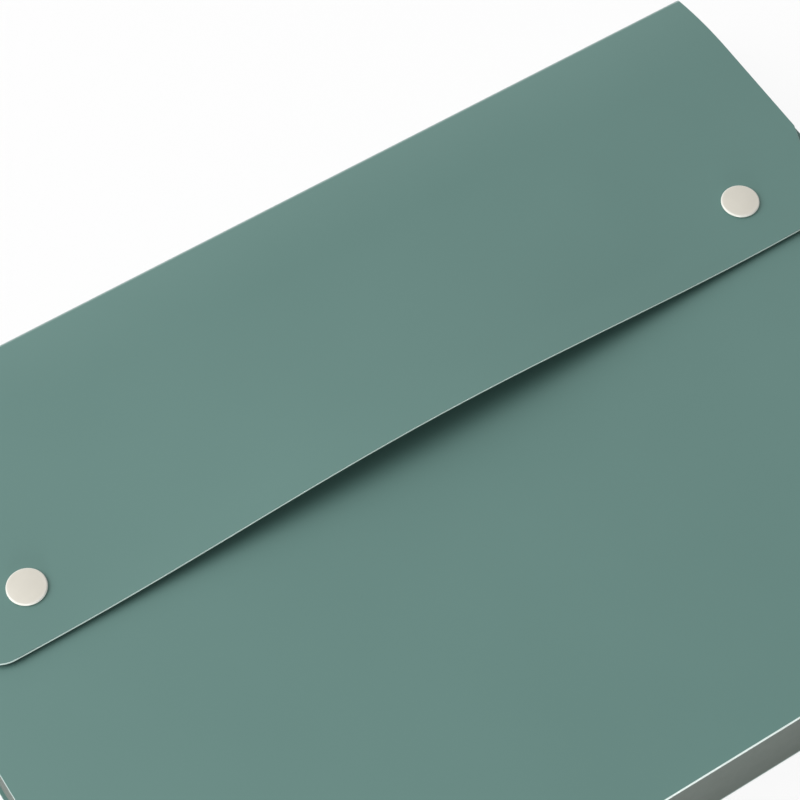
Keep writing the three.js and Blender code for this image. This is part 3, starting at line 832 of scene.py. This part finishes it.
def smoothstep_inverse(share):
    """Where a smooth step from 0 to 1 reaches a share of its height."""
    return 0.5 - math.sin(math.asin(1 - 2 * share) / 3)


for side, side_name in ((-1, "left"), (1, "right")):
    for pocket in range(POCKETS):
        line, folds = rounded(pleat_line(pocket, side), FOLD_RADIUS)
        name = f"pleat_{side_name}_{pocket + 1}"
        pleat = ribbon(name, line, folds, GUSSET, gusset_low.y, gusset_high.y)
        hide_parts(f"gusset_{side_name}")
        first, second = (smoothstep_inverse((pocket + i) / POCKETS) for i in (0, 1))
        low_z = gusset_low.z + GUSSET if pocket == 0 else leaf_middle(pocket)
        high_z = gusset_high.z - GUSSET if pocket == POCKETS - 1 else leaf_middle(pocket + 1)
        run = (high_z - low_z) / (second - first)
        start_z = low_z - first * run
        start_z + run
        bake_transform(pleat)


# Snaps: two moulded press studs in cream plastic. The cap's post goes through the flap and is spread over
# the socket; the stud sits on the front cover in the same way, over a cap on the inside. A pale band
# round the outer rim of each piece is a painted highlight.
SNAP_SIDES = 96
ROUND_STEPS = 8
CAP_RIM = 0.0011
CAP_CROWN = 0.0003
CAP_ROUND = 0.00055
CAP_UNDERCUT = 0.00042
CAP_HIGHLIGHT_BAND = 0.0006
POST_RADIUS = 0.0016
POST_HEAD_RADIUS = 0.0023
POST_HEAD = 0.0002
SOCKET_WEB = 0.0003
SOCKET_BORE_RADIUS = 0.0039
STUD_FLANGE = 0.0003
STUD_WEB = 0.0003
KNOB_RADIUS = 0.003
KNOB_WAIST = 0.00015
KNOB_BORE_RADIUS = 0.00245
SOFT_CORNER = 0.00012
SAME_RING = 1e-7
DEEP_CREAM = (0.655, 0.624, 0.547, 1)
LIGHT_CREAM = (0.705, 0.674, 0.594, 1)
RIM_HIGHLIGHT_CREAM = (0.88, 0.88, 0.83, 1)
CREAM_CLOUD = {"Scale": 210, "Detail": 2}
CREAM_GRAIN = {"Scale": 3600, "Detail": 3, "Roughness": 0.6}
RIM_HIGHLIGHT_STRENGTH = 0.75
CREAM_BUMP = {"Strength": 0.3, "Distance": 0.00002}
CREAM_ROUGHNESS = 0.26
CREAM_UNEVENNESS = 0.10


def cream_plastic():
    finish = Finish(bpy.data.materials.new("cream_plastic"))
    cloud = textured(finish, "TexNoise", CREAM_CLOUD)
    grain = textured(finish, "TexNoise", CREAM_GRAIN)
    body = finish.mixed(cloud, DEEP_CREAM, LIGHT_CREAM)
    # The outer rim is lightened by a painted highlight, carried under the mark named cut
    colour = finish.mixed(carried(finish, "cut") * RIM_HIGHLIGHT_STRENGTH, body, RIM_HIGHLIGHT_CREAM)
    bump = finish.node("Bump", {}, {**CREAM_BUMP, "Height": grain})
    return surface(finish, colour, CREAM_ROUGHNESS + grain * CREAM_UNEVENNESS, bump, {})


CREAM = cream_plastic()


def softened(profile):
    """A turned profile with its corners rounded, apart from its two ends."""
    line = [Vector(p) for p in profile]
    return rounded(line, SOFT_CORNER)[0]


def turned(name, profile, centre, upward, highlight_from):
    """A turned piece about an upright axis. The profile holds radii and heights, and runs from axis to
    axis or back to its start. From the given radius outwards a painted highlight makes the piece paler."""
    mesh = bmesh.new()
    loops = []
    for radius, height in profile:
        steps = SNAP_SIDES if radius > 0 else 1
        ring = []
        for i in range(steps):
            angle = 2 * math.pi * i / SNAP_SIDES
            place = Vector((radius * math.cos(angle), radius * math.sin(angle), height * upward))
            ring.append(mesh.verts.new(place + centre))
        loops.append(ring)
    for first, second in zip(loops, loops[1:]):
        for i in range(SNAP_SIDES):
            corners = [first[i % len(first)], first[(i + 1) % len(first)],
                       second[(i + 1) % len(second)], second[i % len(second)]]
            mesh.faces.new(list(dict.fromkeys(corners)))
    # A profile that runs back to its start has made its first ring twice
    bmesh.ops.remove_doubles(mesh, verts=mesh.verts, dist=SAME_RING)
    points = [vertex.co.copy() for vertex in mesh.verts]
    past = [(point - centre).xy.length - highlight_from for point in points]
    # A painted highlight along the outer rim, carried under the mark named cut
    pale = [min(max(distance / CAP_HIGHLIGHT_BAND, 0), 1) for distance in past]
    return finished_piece(name, mesh, points, {"cut": pale}, CREAM)


def cap_profile(radius, gripped):
    """Post with its spread head, flat seat, soft rim and low crown."""
    round_rim = []
    for angle in spread(0, math.pi / 2, ROUND_STEPS):
        inwards = CAP_ROUND * (1 - math.cos(angle))
        round_rim.append((radius - inwards, CAP_RIM - CAP_ROUND + CAP_ROUND * math.sin(angle)))
    edge = radius - CAP_ROUND
    shares = spread(0, 1, ROUND_STEPS)[1:]
    crown = [(edge * (1 - t), CAP_RIM + CAP_CROWN * (1 - (1 - t) ** 2)) for t in shares]
    post = [(POST_HEAD_RADIUS, -gripped - POST_HEAD), (POST_HEAD_RADIUS, -gripped),
            (POST_RADIUS, -gripped), (POST_RADIUS, 0), (radius - CAP_UNDERCUT, 0), (radius, CAP_UNDERCUT)]
    return softened([(0, -gripped - POST_HEAD), *post, round_rim[0]])[:-1] + round_rim + crown


def socket_profile(radius, height):
    """Ring that takes the knob, hung from a thin web with a hole for the cap's post."""
    return [(SOCKET_BORE_RADIUS, -SOCKET_WEB), (SOCKET_BORE_RADIUS, -height), (radius, -height),
            (radius, 0), (STUD_HOLE, 0), (STUD_HOLE, -SOCKET_WEB), (SOCKET_BORE_RADIUS, -SOCKET_WEB)]


def stud_profile(radius, height):
    """Round flange and hollow knob that swells towards its top, with a hole for the inner cap's post."""
    waist = KNOB_RADIUS - KNOB_WAIST
    third = (height - STUD_FLANGE) / 3
    return [(STUD_HOLE, STUD_WEB), (STUD_HOLE, 0), (radius, 0), (radius, STUD_FLANGE),
            (waist, STUD_FLANGE), (waist, STUD_FLANGE + third), (KNOB_RADIUS, height - third),
            (waist, height), (KNOB_BORE_RADIUS, height), (KNOB_BORE_RADIUS, STUD_WEB),
            (STUD_HOLE, STUD_WEB)]


def snap_piece(node, name, profile, seat_z, upward, body):
    """A turned piece in a node's place, with its seat at a height. It points down where upward is -1."""
    low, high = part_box(node)
    centre = Vector(((low.x + high.x) / 2, (low.y + high.y) / 2, seat_z))
    piece = turned(name, profile, centre, upward, (high.x - low.x) / 2 - CAP_HIGHLIGHT_BAND)
    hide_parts(node)
    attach(piece, body)


for side_name in ("left", "right"):
    socket_low, socket_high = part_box(f"snap_socket_{side_name}")
    stud_low, stud_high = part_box(f"snap_stud_{side_name}")
    cap_radius = (cap_high.x - cap_low.x) / 2
    ring_radius = (socket_high.x - socket_low.x) / 2
    snap_piece(f"snap_cap_{side_name}", f"cap_{side_name}", cap_profile(cap_radius, SHEET + SOCKET_WEB),
               FLAP_TOP_Z, 1, "flap")
    snap_piece(f"snap_socket_{side_name}", f"socket_{side_name}",
               socket_profile(ring_radius, socket_high.z - socket_low.z), socket_high.z, 1, "flap")
    snap_piece(f"snap_stud_{side_name}", f"stud_{side_name}",
               stud_profile(ring_radius, stud_high.z - stud_low.z), stud_low.z, 1, "front")
    snap_piece(f"stud_cap_{side_name}", f"inner_cap_{side_name}",
               cap_profile(cap_radius, LEAF + SHEET + STUD_WEB), leaf_low.z, -1, "front")
